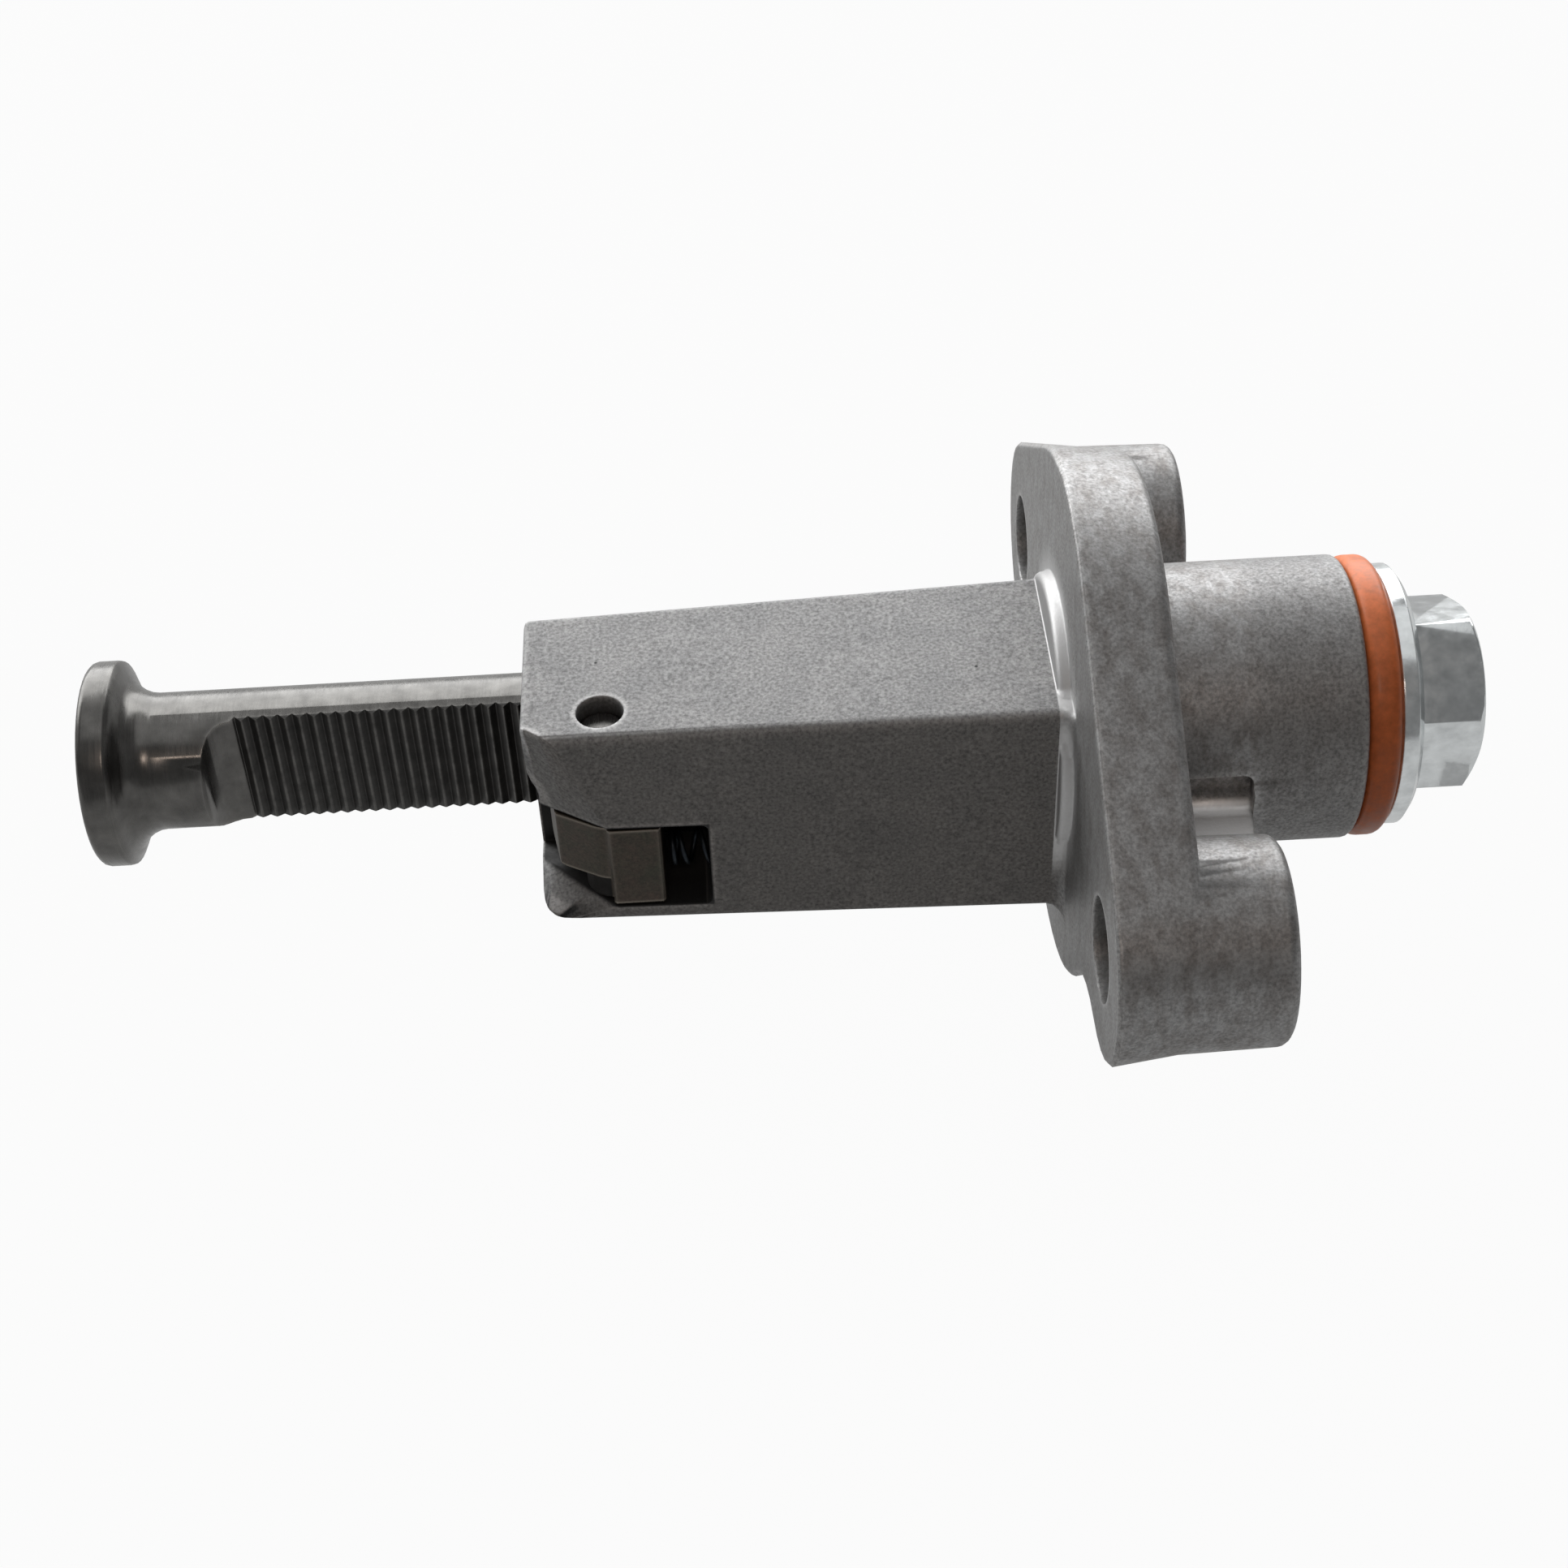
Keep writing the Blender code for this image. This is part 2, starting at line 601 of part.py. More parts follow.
def pawl_teeth():
    """The pawl's teeth, drawn in mesh with the rack and then turned back to rest.

    They take the rack's pitch and slopes, and stand in the rack's roots nearest the nose.
    """
    root_y = RACK_DEPTH - PLUNGER_R + TOOTH_DEPTH
    ramp_slope = (TOOTH_PITCH - TOOTH_FLANK - 2.0 * TOOTH_LAND) / TOOTH_DEPTH
    flank_slope = TOOTH_FLANK / TOOTH_DEPTH
    tip_y = root_y - PAWL_TIP_GAP
    base_y = tip_y - PAWL_TOOTH_HEIGHT
    first_root = rack_start_x()
    first_root += TOOTH_PITCH * math.ceil((MESH_START_X - first_root) / TOOTH_PITCH)
    points = []
    for i in range(PAWL_TOOTH_COUNT):
        tip_x = first_root + i * TOOTH_PITCH + PAWL_TIP_GAP * ramp_slope - PAWL_SIDE_GAP
        points += [(tip_x - TOOTH_LAND - PAWL_TOOTH_HEIGHT * flank_slope, base_y),
                   (tip_x - TOOTH_LAND, tip_y), (tip_x, tip_y),
                   (tip_x + PAWL_TOOTH_HEIGHT * ramp_slope, base_y)]
    return [turn_about_pivot(point, PAWL_LIFT_DEG) for point in points]


def pawl_outline():
    teeth = pawl_teeth()
    hub = arc((PIVOT_X, PIVOT_Y), PAWL_HUB_R, 264.0, PAWL_FACE_DEG, 3)
    along = math.radians(PAWL_FACE_DEG - 90.0)
    edge_x = hub[-1][0] + PAWL_FACE_LENGTH * math.cos(along)
    edge_y = hub[-1][1] + PAWL_FACE_LENGTH * math.sin(along)
    nose_x, nose_y = teeth[0]
    nose = [(edge_x, edge_y), (edge_x - 0.1, edge_y + 0.2), (nose_x - 0.1, nose_y - 0.3)]
    tail_y = TAB_BACK_Y
    tab_round = 0.35
    tab = [(TAB_X[1] - tab_round, tail_y), (TAB_X[1], tail_y - tab_round)]
    tab += [(TAB_X[1], TAB_FACE_Y + 0.2), (TAB_X[1] - 0.2, TAB_FACE_Y)]
    tab += [(TAB_X[0] + 0.2, TAB_FACE_Y), (TAB_X[0], TAB_FACE_Y + 0.2)]
    return hub + nose + teeth + tab


def heel_cutter():
    """Takes away what lies under the arm, outside the hub and beside the tab."""
    wall_x = TAB_X[0] + 0.04
    half = math.degrees(math.acos((wall_x - PIVOT_X) / PAWL_HEEL_R))
    outline = arc((PIVOT_X, PIVOT_Y), PAWL_HEEL_R, 360.0 - half, half, 12)
    outline += [(wall_x, 2.0), (BLOCK_END_X, 2.0), (BLOCK_END_X, BLOCK_FRONT_Y), (wall_x, BLOCK_FRONT_Y)]
    return loft([[(x, y, z) for x, y in outline] for z in (SLOT_BOTTOM_Z - 1.0, ARM_BOTTOM_Z)])


def arm_corner_cutter(edge_x):
    """Rounds the arm's lower end corner."""
    low = ARM_BOTTOM_Z
    outline = arc((edge_x + ARM_CORNER_R, low + ARM_CORNER_R), ARM_CORNER_R, 268.0, 180.0, 6)
    outline += [(edge_x - 2.0, low + ARM_CORNER_R), (edge_x - 2.0, low - 0.5), (outline[0][0], low - 0.5)]
    return loft([[(x, y, z) for x, z in outline] for y in (BLOCK_FRONT_Y, 2.0)])


def make_pawl(material):
    outline = pawl_outline()
    bm = loft([[(x, y, z) for x, y in outline] for z in (PAWL_BOTTOM_Z, PAWL_TOP_Z)])
    pawl = add_object("pawl", bm, material, origin=(PIVOT_X, PIVOT_Y, 0.0))
    hole = cylinder((PIVOT_X, PIVOT_Y, PAWL_BOTTOM_Z - 1.0), (PIVOT_X, PIVOT_Y, PAWL_TOP_Z + 1.0),
                    PIN_R + RUNNING_GAP, SMALL)
    combine(pawl, add_object("pawl_pin_hole", hole), 'DIFFERENCE')
    combine(pawl, add_object("heel_cutter", heel_cutter()), 'DIFFERENCE')
    edge_x = min(x for x, y in outline)
    combine(pawl, add_object("arm_corner_cutter", arm_corner_cutter(edge_x)), 'DIFFERENCE')
    return pawl


def make_pawl_pin(material):
    top, bottom = block_faces(PIVOT_X)[2:]
    low, high = bottom + PIN_RECESS_BOTTOM, top - PIN_RECESS_TOP
    bm = cylinder((PIVOT_X, PIVOT_Y, low), (PIVOT_X, PIVOT_Y, high), PIN_R, SMALL)
    rims = [edge for edge in bm.edges if len({round(vert.co.z, 4) for vert in edge.verts}) == 1]
    bmesh.ops.bevel(bm, geom=rims, offset=0.2, offset_type='OFFSET', affect='EDGES', segments=2,
                    profile=0.5, material=-1)
    return add_object("pawl_pin", bm, material)


# Springs

def make_main_spring(material):
    start = plunger_end_x() - SPRING_BORE_DEPTH + SEAT_GAP
    end = SHANK_END_X + PLUG_BORE_DEPTH - SEAT_GAP
    bm = coil(start, end, (0.0, 0.0), MAIN_COIL_R, MAIN_WIRE_R, MAIN_TURNS)
    return add_object("main_spring", bm, material)


def make_pawl_spring(material):
    start = TAB_X[1] + SEAT_GAP
    end = PAWL_SPRING_HOLE_END_X - SEAT_GAP
    centre = (PAWL_SPRING_Y, PAWL_SPRING_Z)
    bm = coil(start, end, centre, PAWL_COIL_R, PAWL_WIRE_R, PAWL_TURNS)
    return add_object("pawl_spring", bm, material)


# Plug bolt and sealing ring

def ring_start_x():
    return SPIGOT_END_X + SEAT_GAP


def collar_start_x():
    return ring_start_x() + RING_THICKNESS + SEAT_GAP


def make_sealing_ring(material):
    start = ring_start_x()
    outer = rounded_rectangle((start, RING_BORE_R), (start + RING_THICKNESS, RING_R), RING_EDGE_R, 2)
    return add_object("sealing_ring", revolve(outer, FINE), material)


def plug_body():
    seat = collar_start_x()
    face = seat + COLLAR_THICKNESS
    profile = [(SHANK_END_X, 3.6), (SHANK_END_X, SHANK_R - SHANK_CHAMFER),
               (SHANK_END_X + SHANK_CHAMFER, SHANK_R), (seat, SHANK_R), (seat, COLLAR_R - 0.2),
               (seat + 0.2, COLLAR_R), (face - COLLAR_CHAMFER, COLLAR_R),
               (face - 0.15, COLLAR_R - COLLAR_CHAMFER), (face, COLLAR_R - COLLAR_CHAMFER - 0.5),
               (face, 0.0), (SHANK_END_X + PLUG_BORE_DEPTH + 1.0, 0.0),
               (SHANK_END_X + PLUG_BORE_DEPTH, 3.6)]
    return revolve(profile, FINE)


def hex_head():
    """The hexagon, with the round chamfer of a turned bolt head on its end."""
    low = collar_start_x() + COLLAR_THICKNESS * 0.5
    high = collar_start_x() + COLLAR_THICKNESS + HEX_HEIGHT
    flat = HEX_ACROSS_FLATS / 2.0
    face_r = flat * HEX_FACE_RATIO
    slope = math.tan(math.radians(HEX_CHAMFER_DEG))
    root, edge, face = [], [], []
    for i in range(HEX_SIDE_STEPS * 6):
        angle = math.radians(60.0 * i / HEX_SIDE_STEPS)
        from_corner = math.fmod(angle, math.pi / 3.0)
        radius = flat / math.cos(from_corner - math.pi / 6.0)
        turned = angle + math.radians(90.0 + HEX_TURN_DEG)
        y, z = math.cos(turned), math.sin(turned)
        root.append((low, radius * y, radius * z))
        edge.append((high - (radius - face_r) * slope, radius * y, radius * z))
        face.append((high, face_r * y, face_r * z))
    return loft([root, edge, face])


def make_plug_bolt(material):
    plug = add_object("plug_bolt", plug_body(), material)
    combine(plug, add_object("hex_head", hex_head()), 'UNION')
    return plug


def main():
    clear_scene()
    cast = make_material("die_cast_aluminium", (0.32, 0.32, 0.31), 0.55, 0.7)
    steel = make_material("hardened_steel", (0.12, 0.12, 0.11), 0.38, 0.9)
    sintered = make_material("sintered_steel", (0.11, 0.10, 0.09), 0.6, 0.6)
    spring_steel = make_material("spring_steel", (0.10, 0.11, 0.13), 0.35, 0.9)
    zinc = make_material("zinc_plated_steel", (0.60, 0.63, 0.65), 0.28, 0.95)
    orange = make_material("orange_silicone", (0.62, 0.20, 0.07), 0.5, 0.0)
    make_housing(cast)
    make_plunger(steel)
    make_pawl(sintered)
    make_pawl_pin(steel)
    make_main_spring(spring_steel)
    make_pawl_spring(spring_steel)
    make_sealing_ring(orange)
    make_plug_bolt(zinc)


main()
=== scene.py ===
"""Looks for the ratchet chain tensioner: finished pieces, materials, stage and camera.

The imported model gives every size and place. Each piece below stands for one of its nodes,
and follows the same body, so the looks move with the plunger and the pawl.
"""

import math
from functools import partial

import bmesh
import bpy
from mathutils import Matrix, Vector


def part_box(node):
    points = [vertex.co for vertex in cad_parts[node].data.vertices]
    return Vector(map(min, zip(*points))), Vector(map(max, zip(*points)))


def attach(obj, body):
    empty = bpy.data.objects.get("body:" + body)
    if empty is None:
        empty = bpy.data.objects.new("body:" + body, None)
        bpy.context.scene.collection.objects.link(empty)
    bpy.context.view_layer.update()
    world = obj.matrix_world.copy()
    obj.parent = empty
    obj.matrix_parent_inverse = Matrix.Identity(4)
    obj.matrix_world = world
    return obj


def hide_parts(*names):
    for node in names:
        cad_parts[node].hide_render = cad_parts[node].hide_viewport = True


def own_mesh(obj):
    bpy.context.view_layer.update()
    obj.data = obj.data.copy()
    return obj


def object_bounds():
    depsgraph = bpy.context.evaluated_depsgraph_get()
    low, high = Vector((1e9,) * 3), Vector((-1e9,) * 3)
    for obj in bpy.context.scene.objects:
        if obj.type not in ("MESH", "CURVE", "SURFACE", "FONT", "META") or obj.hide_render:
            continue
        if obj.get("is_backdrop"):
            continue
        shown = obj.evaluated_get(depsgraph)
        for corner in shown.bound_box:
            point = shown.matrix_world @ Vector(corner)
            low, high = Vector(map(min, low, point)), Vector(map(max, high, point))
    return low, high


bl_info = {
    "name": "Ratchet chain tensioner",
    "version": (1, 0, 0),
    "blender": (4, 5, 0),
    "location": "3D View > Sidebar > Tensioner",
    "description": "Builds the finished pieces, materials and stage of a ratchet chain tensioner",
    "category": "Add Mesh",
}

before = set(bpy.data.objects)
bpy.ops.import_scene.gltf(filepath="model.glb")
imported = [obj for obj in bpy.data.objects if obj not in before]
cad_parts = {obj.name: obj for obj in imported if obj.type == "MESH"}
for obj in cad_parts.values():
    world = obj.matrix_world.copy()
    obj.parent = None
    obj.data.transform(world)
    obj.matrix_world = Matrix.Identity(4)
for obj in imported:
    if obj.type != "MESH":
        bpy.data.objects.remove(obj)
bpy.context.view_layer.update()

MM = 0.001
AXIS_X = Vector((1.0, 0.0, 0.0))

# The photograph's camera, solved from the part's outline. Places are in millimetres.
FRAME_PIXELS = 1932.0
FOCAL_PIXELS = 3111.4
SENSOR_WIDTH = 36.0
CAMERA_DISTANCE = 178.02
CAMERA_YAW_DEG = 1.0836
CAMERA_PITCH_DEG = 42.7398
CAMERA_ROLL_DEG = 2.4642
AIM_ALONG = -19.366
AIM_UP = -4.06
CLIP_START = 0.01

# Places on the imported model, in millimetres
FLANGE_BACK_X = 5.8
REGISTER_R = 9.9
REGISTER_FADE = 2.2
# The turned register band, drawn lighter: its finish, and a painted highlight
TURNED_LOW = (-0.97, -20.0, -20.0)
TURNED_HIGH = (0.1, 20.0, 20.0)
# The window's inside, painted dark as painted shade
WINDOW_SHADE_LOW = (-36.9, -8.2, -9.5)
WINDOW_SHADE_HIGH = (-24.7, -0.3, -1.7)
# The pawl's heel low in the window, painted dark as painted shade
HEEL_SHADE_LOW = (-37.0, -9.0, -9.3)
HEEL_SHADE_HIGH = (-31.9, 0.0, -7.03)
# The web's shelf by the spigot, painted nearly white as a painted highlight
SHELF_HIGHLIGHT_LOW = (5.9, -13.5, -1.6)
SHELF_HIGHLIGHT_HIGH = (12.1, -9.5, 0.0)
SPIGOT_END_X = 19.95
COLLAR_FACE_X = 22.25
RACK_X = (-57.0, -26.7)
RACK_CREST_Y = -1.5
RACK_CREST_DEPTH = 0.3
RACK_HALF_Z = 4.9
CASTING_PORES = ((-31.9, 0.35, 6.5), (-6.0, -2.9, 7.0))
CASTING_PORE_R = 0.16

# Sizes of the surfaces' patterns, in millimetres
CASTING_CLOUD = 3.6
CASTING_MOTTLE = 1.2
STEEL_CLOUD = 1.6
RACK_CLOUD = 1.3
SINTER_PORES = 0.22
SINTER_CLOUD = 1.4
WIRE_GRAIN = 0.5
ZINC_HAZE = 1.3
SILICONE_DUST = 0.8

# The springs' closed ends, and how finely the coils are drawn
CLOSED_TURNS = 1.2
CLOSED_GAP = 0.06
COIL_STEPS = 32

# The seal's gap to its neighbours in millimetres, and how finely it is drawn
SEAL_GAP = 0.02
SEAL_EDGE_STEPS = 5
SEAL_STEPS = 128

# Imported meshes: points closer than this many metres are one point, and faces that meet at
# less than this many degrees are one flat face
WELD = 1e-7
FLAT_DEG = 0.5

# Edges sharper than this many degrees stay crisp. The casting, springs and seal are rounder.
SHARP_DEG = 32.0
CASTING_SHARP_DEG = 43.0
ROUND_SHARP_DEG = 60.0

# The stage, in metres: each lamp's name, place, sizes and colour, and the point they face
LAMPS = (("back_softbox", (-0.12, 0.5, 0.26), (1.5, 0.52), "#FFFFFF"),
         ("overhead_softbox", (-0.02, 0.05, 0.5), (0.5, 0.5), "#FFFFFF"),
         ("side_softbox", (-0.5, 0.1, 0.25), (0.3, 0.3), "#FFFFFF"),
         ("front_lamp", (-0.03, -0.28, 0.3), (0.12, 0.05), "#FFE9DA"))
LAMP_TARGET = (-0.02, 0.0, 0.0)
FLOOR_HALF = 3.0
FLOOR_DROP = 0.0002

# How bright the floor and the world look, in mirrors as a share of that, and as light
SEEN_LEVEL = 0.96
FLOOR_IN_MIRRORS = 0.57
WORLD_IN_MIRRORS = 0.2
WORLD_LIGHT = 0.018

# The Mix node's sockets for colours, which share their names with others
SHARE, UNDER, OVER, MIXED = 0, 6, 7, 2


# Colours and nodes

def linear(hex_colour):
    """An sRGB hex colour as linear red, green and blue."""
    channels = [int(hex_colour[i:i + 2], 16) / 255.0 for i in (1, 3, 5)]
    return tuple(c / 12.92 if c <= 0.04045 else ((c + 0.055) / 1.055) ** 2.4 for c in channels)


def shade(colour, factor=1.0):
    """A linear colour with alpha, made lighter or darker by a factor."""
    return (*(min(channel * factor, 1.0) for channel in colour), 1.0)


def set_inputs(node, inputs):
    """Give a node's inputs plain values, or link them where the value is a socket."""
    for name, value in inputs.items():
        if isinstance(value, bpy.types.NodeSocket):
            node.id_data.links.new(value, node.inputs[name])
        else:
            node.inputs[name].default_value = value


def add_node(tree, kind, inputs=None, output=0, stops=(), **settings):
    """Add a node with its settings and inputs, and return one of its outputs.

    The stops of a colour ramp are two pairs of position and colour.
    """
    node = tree.nodes.new("ShaderNode" + kind)
    for name, value in settings.items():
        setattr(node, name, value)
    set_inputs(node, inputs or {})
    if stops:
        for element, (position, colour) in zip(node.color_ramp.elements, stops):
            element.position = position
            element.color = colour
    return node.outputs[output]


def new_material(name, metallic, roughness, specular=0.5):
    """A material, its shader, and add_node for its own tree."""
    material = bpy.data.materials.new(name)
    material.use_nodes = True
    shader = material.node_tree.nodes["Principled BSDF"]
    set_inputs(shader, {"Metallic": metallic, "Roughness": roughness,
                        "Specular IOR Level": specular})
    return material, shader, partial(add_node, material.node_tree)


def object_point(add):
    """The point on the piece in millimetres, in the part's own frame."""
    place = add("TexCoord", output="Object")
    return add("VectorMath", {0: place, "Scale": 1.0 / MM}, operation='SCALE')


def inside(add, point, low, high, soft=0.06):
    """1 inside a box, fading to 0 across its borders. Corners are in millimetres."""
    parts = add("SeparateXYZ", {0: point}).node.outputs
    value = 1.0
    for axis in range(3):
        for edge, border in ((low[axis], soft), (high[axis], -soft)):
            step = add("MapRange", {"Value": parts[axis], "From Min": edge - border,
                                    "From Max": edge + border},
                       interpolation_type='SMOOTHSTEP')
            value = add("Math", {0: step, 1: value}, operation='MULTIPLY')
    return value


def near(add, point, centre, radius):
    """1 at a place, falling to 0 at a radius from it, in millimetres."""
    distance = add("VectorMath", {0: point, 1: centre}, "Value", operation='DISTANCE')
    return add("MapRange", {"Value": distance, "From Min": radius * 0.4, "From Max": radius,
                            "To Min": 1.0, "To Max": 0.0}, interpolation_type='SMOOTHSTEP')


def worn_and_highlit_edges(add, reach):
    """1 on outward edges, drawn lighter as wear and as a painted highlight, and 0 on open faces."""
    depth = add("AmbientOcclusion", {"Distance": reach * MM}, "AO",
                inside=True, only_local=True, samples=8)
    return add("MapRange", {"Value": depth, "From Min": 0.93, "From Max": 0.62})


def recess_shade(add, reach):
    """1 deep inside holes and slots, where painted shade goes, and 0 on open faces."""
    open_sky = add("AmbientOcclusion", {"Distance": reach * MM}, "AO", samples=8)
    return add("MapRange", {"Value": open_sky, "From Min": 0.5, "From Max": 0.18})


def relief(add, height, strength, depth, edge_radius):
    """Normals with edges rounded off a little, and a pattern raised on them. Sizes in mm."""
    rounded = add("Bevel", {"Radius": edge_radius * MM}, samples=6)
    return add("Bump", {"Height": height, "Strength": strength, "Distance": depth * MM,
                        "Normal": rounded})


# Materials

def bead_blasted_casting(looks):
    """Die-cast aluminium, bead blasted: a matt grey skin with a fine sparkle of pits.

    Blasting leaves the long block dull. The flange, boss and spigot are tumbled smoother,
    so they mirror their surroundings a little. The register step is turned, and drawn lighter
    as a painted highlight. The shelf by the spigot carries a painted highlight, outward edges
    are lighter as wear and as a painted highlight, and the deep places and the window carry
    painted shade. The pits are 0.24 mm across, about twice their real size, so that they show.
    """
    material, shader, add = new_material("bead_blasted_aluminium", 0.1, 0.5, 0.3)
    point = object_point(add)
    grey = looks.casting

    # Patterns: the pits, broad clouds, and stains drawn out by the tumbling
    pits = add("TexNoise", {"Vector": point, "Scale": MM / looks.blast_grain,
                            "Detail": 3.0, "Roughness": 0.62})
    cloud = add("TexNoise", {"Vector": point, "Scale": 1.0 / CASTING_CLOUD,
                             "Detail": 3.0, "Roughness": 0.55})
    drawn_out = add("Mapping", {"Vector": point, "Scale": (1.3, 0.9, 0.6)})
    mottle = add("TexNoise", {"Vector": drawn_out, "Scale": 1.0 / CASTING_MOTTLE,
                              "Detail": 4.0, "Roughness": 0.6})

    # Where each finish lies: tumbled behind the block and less so on the spigot, and turned
    # round the register, where a painted highlight lies too
    x = add("SeparateXYZ", {0: point}, "X")
    behind_block = add("MapRange", {"Value": x, "From Min": -0.9, "From Max": 0.3},
                       interpolation_type='SMOOTHSTEP')
    before_spigot = add("MapRange", {"Value": x, "From Min": FLANGE_BACK_X + 6.0,
                                     "From Max": FLANGE_BACK_X + 8.0,
                                     "To Min": 1.0, "To Max": 0.5},
                        interpolation_type='SMOOTHSTEP')
    tumbled = add("Math", {0: behind_block, 1: before_spigot}, operation='MULTIPLY')
    across = add("Mapping", {"Vector": point, "Scale": (0.0, 1.0, 1.0)})
    radius = add("VectorMath", {0: across}, "Value", operation='LENGTH')
    by_register = add("MapRange", {"Value": radius, "From Min": REGISTER_R,
                                   "From Max": REGISTER_R + REGISTER_FADE,
                                   "To Min": 1.0, "To Max": 0.0},
                      interpolation_type='SMOOTHSTEP')
    turned_and_highlit = add("Math", {0: inside(add, point, TURNED_LOW, TURNED_HIGH, 0.03),
                          1: by_register}, operation='MULTIPLY')
    grip = add("MapRange", {"Value": pits, "From Min": 0.3, "From Max": 0.6, "To Min": 0.3})
    # Outward edges, lighter as wear and as a painted highlight
    rubbed_and_highlit = add("Math", {0: worn_and_highlit_edges(add, 0.6), 1: grip}, operation='MULTIPLY')
    worn_highlit_share = add("MapRange", {"Value": tumbled, "To Min": 1.0, "To Max": 0.4})
    rubbed_and_highlit = add("Math", {0: rubbed_and_highlit, 1: worn_highlit_share}, operation='MULTIPLY')
    pores = 0.0
    for place in CASTING_PORES:
        pores = add("Math", {0: near(add, point, place, CASTING_PORE_R), 1: pores},
                    operation='MAXIMUM')

    # Colours: the blasted skin, the tumbled one, and over them in turn the turned band with its
    # painted highlight, the shelf's painted highlight, the edges' wear and painted highlight,
    # painted shade in deep places and in the window, and the pores
    skin = add("ValToRGB", {"Fac": pits},
               stops=((0.3, shade(grey, 0.62)), (0.7, shade(grey, 1.5))))
    tone = add("ValToRGB", {"Fac": cloud},
               stops=((0.3, shade(linear("#ECEDEE"))), (0.7, shade(linear("#FFFFFF")))))
    bright = add("ValToRGB", {"Fac": pits},
                 stops=((0.3, shade(grey, 0.75)), (0.7, shade(grey, 1.28))))
    stain = add("ValToRGB", {"Fac": mottle},
                stops=((0.32, shade(linear("#D6D2CF"))), (0.62, shade(linear("#FFFFFF")))))
    skin = add("Mix", {SHARE: 1.0, UNDER: skin, OVER: tone}, MIXED,
               data_type='RGBA', blend_type='MULTIPLY')
    bright = add("Mix", {SHARE: 1.0, UNDER: bright, OVER: stain}, MIXED,
                 data_type='RGBA', blend_type='MULTIPLY')
    for share, colour in (
            (tumbled, bright),
            # The turned band: its finish, and a painted highlight, 1.6 times the grey
            (turned_and_highlit, shade(grey, 1.6)),
            # A painted highlight on the shelf, 3.3 times the grey
            (inside(add, point, SHELF_HIGHLIGHT_LOW, SHELF_HIGHLIGHT_HIGH, 0.2), shade(grey, 3.3)),
            # Outward edges: wear, and a painted highlight
            (rubbed_and_highlit, shade(grey, 2.2)),
            # Painted shade deep in holes and slots
            (recess_shade(add, 5.0), shade(grey, 0.08)),
            # Painted shade inside the window
            (inside(add, point, WINDOW_SHADE_LOW, WINDOW_SHADE_HIGH, 0.1), shade(grey, 0.06)),
            (pores, shade(grey, 0.12))):
        skin = add("Mix", {SHARE: share, UNDER: skin, OVER: colour}, MIXED, data_type='RGBA')

    # Shine: smoother and more like bare metal where it is tumbled or turned
    smooth = add("Math", {0: tumbled, 1: turned_and_highlit}, operation='MAXIMUM')
    bare = add("MapRange", {"Value": smooth, "To Min": 0.08, "To Max": 0.85})
    matt = add("MapRange", {"Value": pits, "From Min": 0.3, "From Max": 0.7,
                            "To Min": 0.62, "To Max": 0.5})
    sheen = add("MapRange", {"Value": smooth, "To Min": 0.0, "To Max": -0.06})
    set_inputs(shader, {"Base Color": skin, "Metallic": bare,
                        "Roughness": add("Math", {0: matt, 1: sheen}, operation='ADD'),
                        "Normal": relief(add, pits, 0.5, 0.03, looks.edge_radius / MM)})
    return material


def satin_hardened_steel(looks):
    """Hardened steel, turned and tumbled: a dark grey satin with fine turning marks.

    The marks run round the rod, about 0.15 mm apart, which is two or three times too wide,
    so that they show. Edges are drawn lighter, as wear and as a painted highlight.
    """
    material, shader, add = new_material("satin_hardened_steel", 0.88, 0.26)
    point = object_point(add)
    round_rod = add("Mapping", {"Vector": point, "Scale": (6.5, 0.25, 0.25)})
    turning = add("TexNoise", {"Vector": round_rod, "Scale": 1.0, "Detail": 2.0,
                               "Roughness": 0.5})
    cloud = add("TexNoise", {"Vector": point, "Scale": 1.0 / STEEL_CLOUD, "Detail": 3.0,
                             "Roughness": 0.6})
    tone = add("ValToRGB", {"Fac": cloud},
               stops=((0.3, shade(looks.steel, 0.75)), (0.72, shade(looks.steel, 1.25))))
    # Outward edges lighter: wear, and a painted highlight
    tone = add("Mix", {SHARE: worn_and_highlit_edges(add, 0.4), UNDER: tone,
                       OVER: shade(looks.steel, 1.8)}, MIXED, data_type='RGBA')
    satin = add("MapRange", {"Value": turning, "From Min": 0.3, "From Max": 0.7,
                             "To Min": 0.21, "To Max": 0.31})
    set_inputs(shader, {"Base Color": tone, "Roughness": satin,
                        "Normal": relief(add, turning, 0.08, 0.003, 0.1)})
    return material


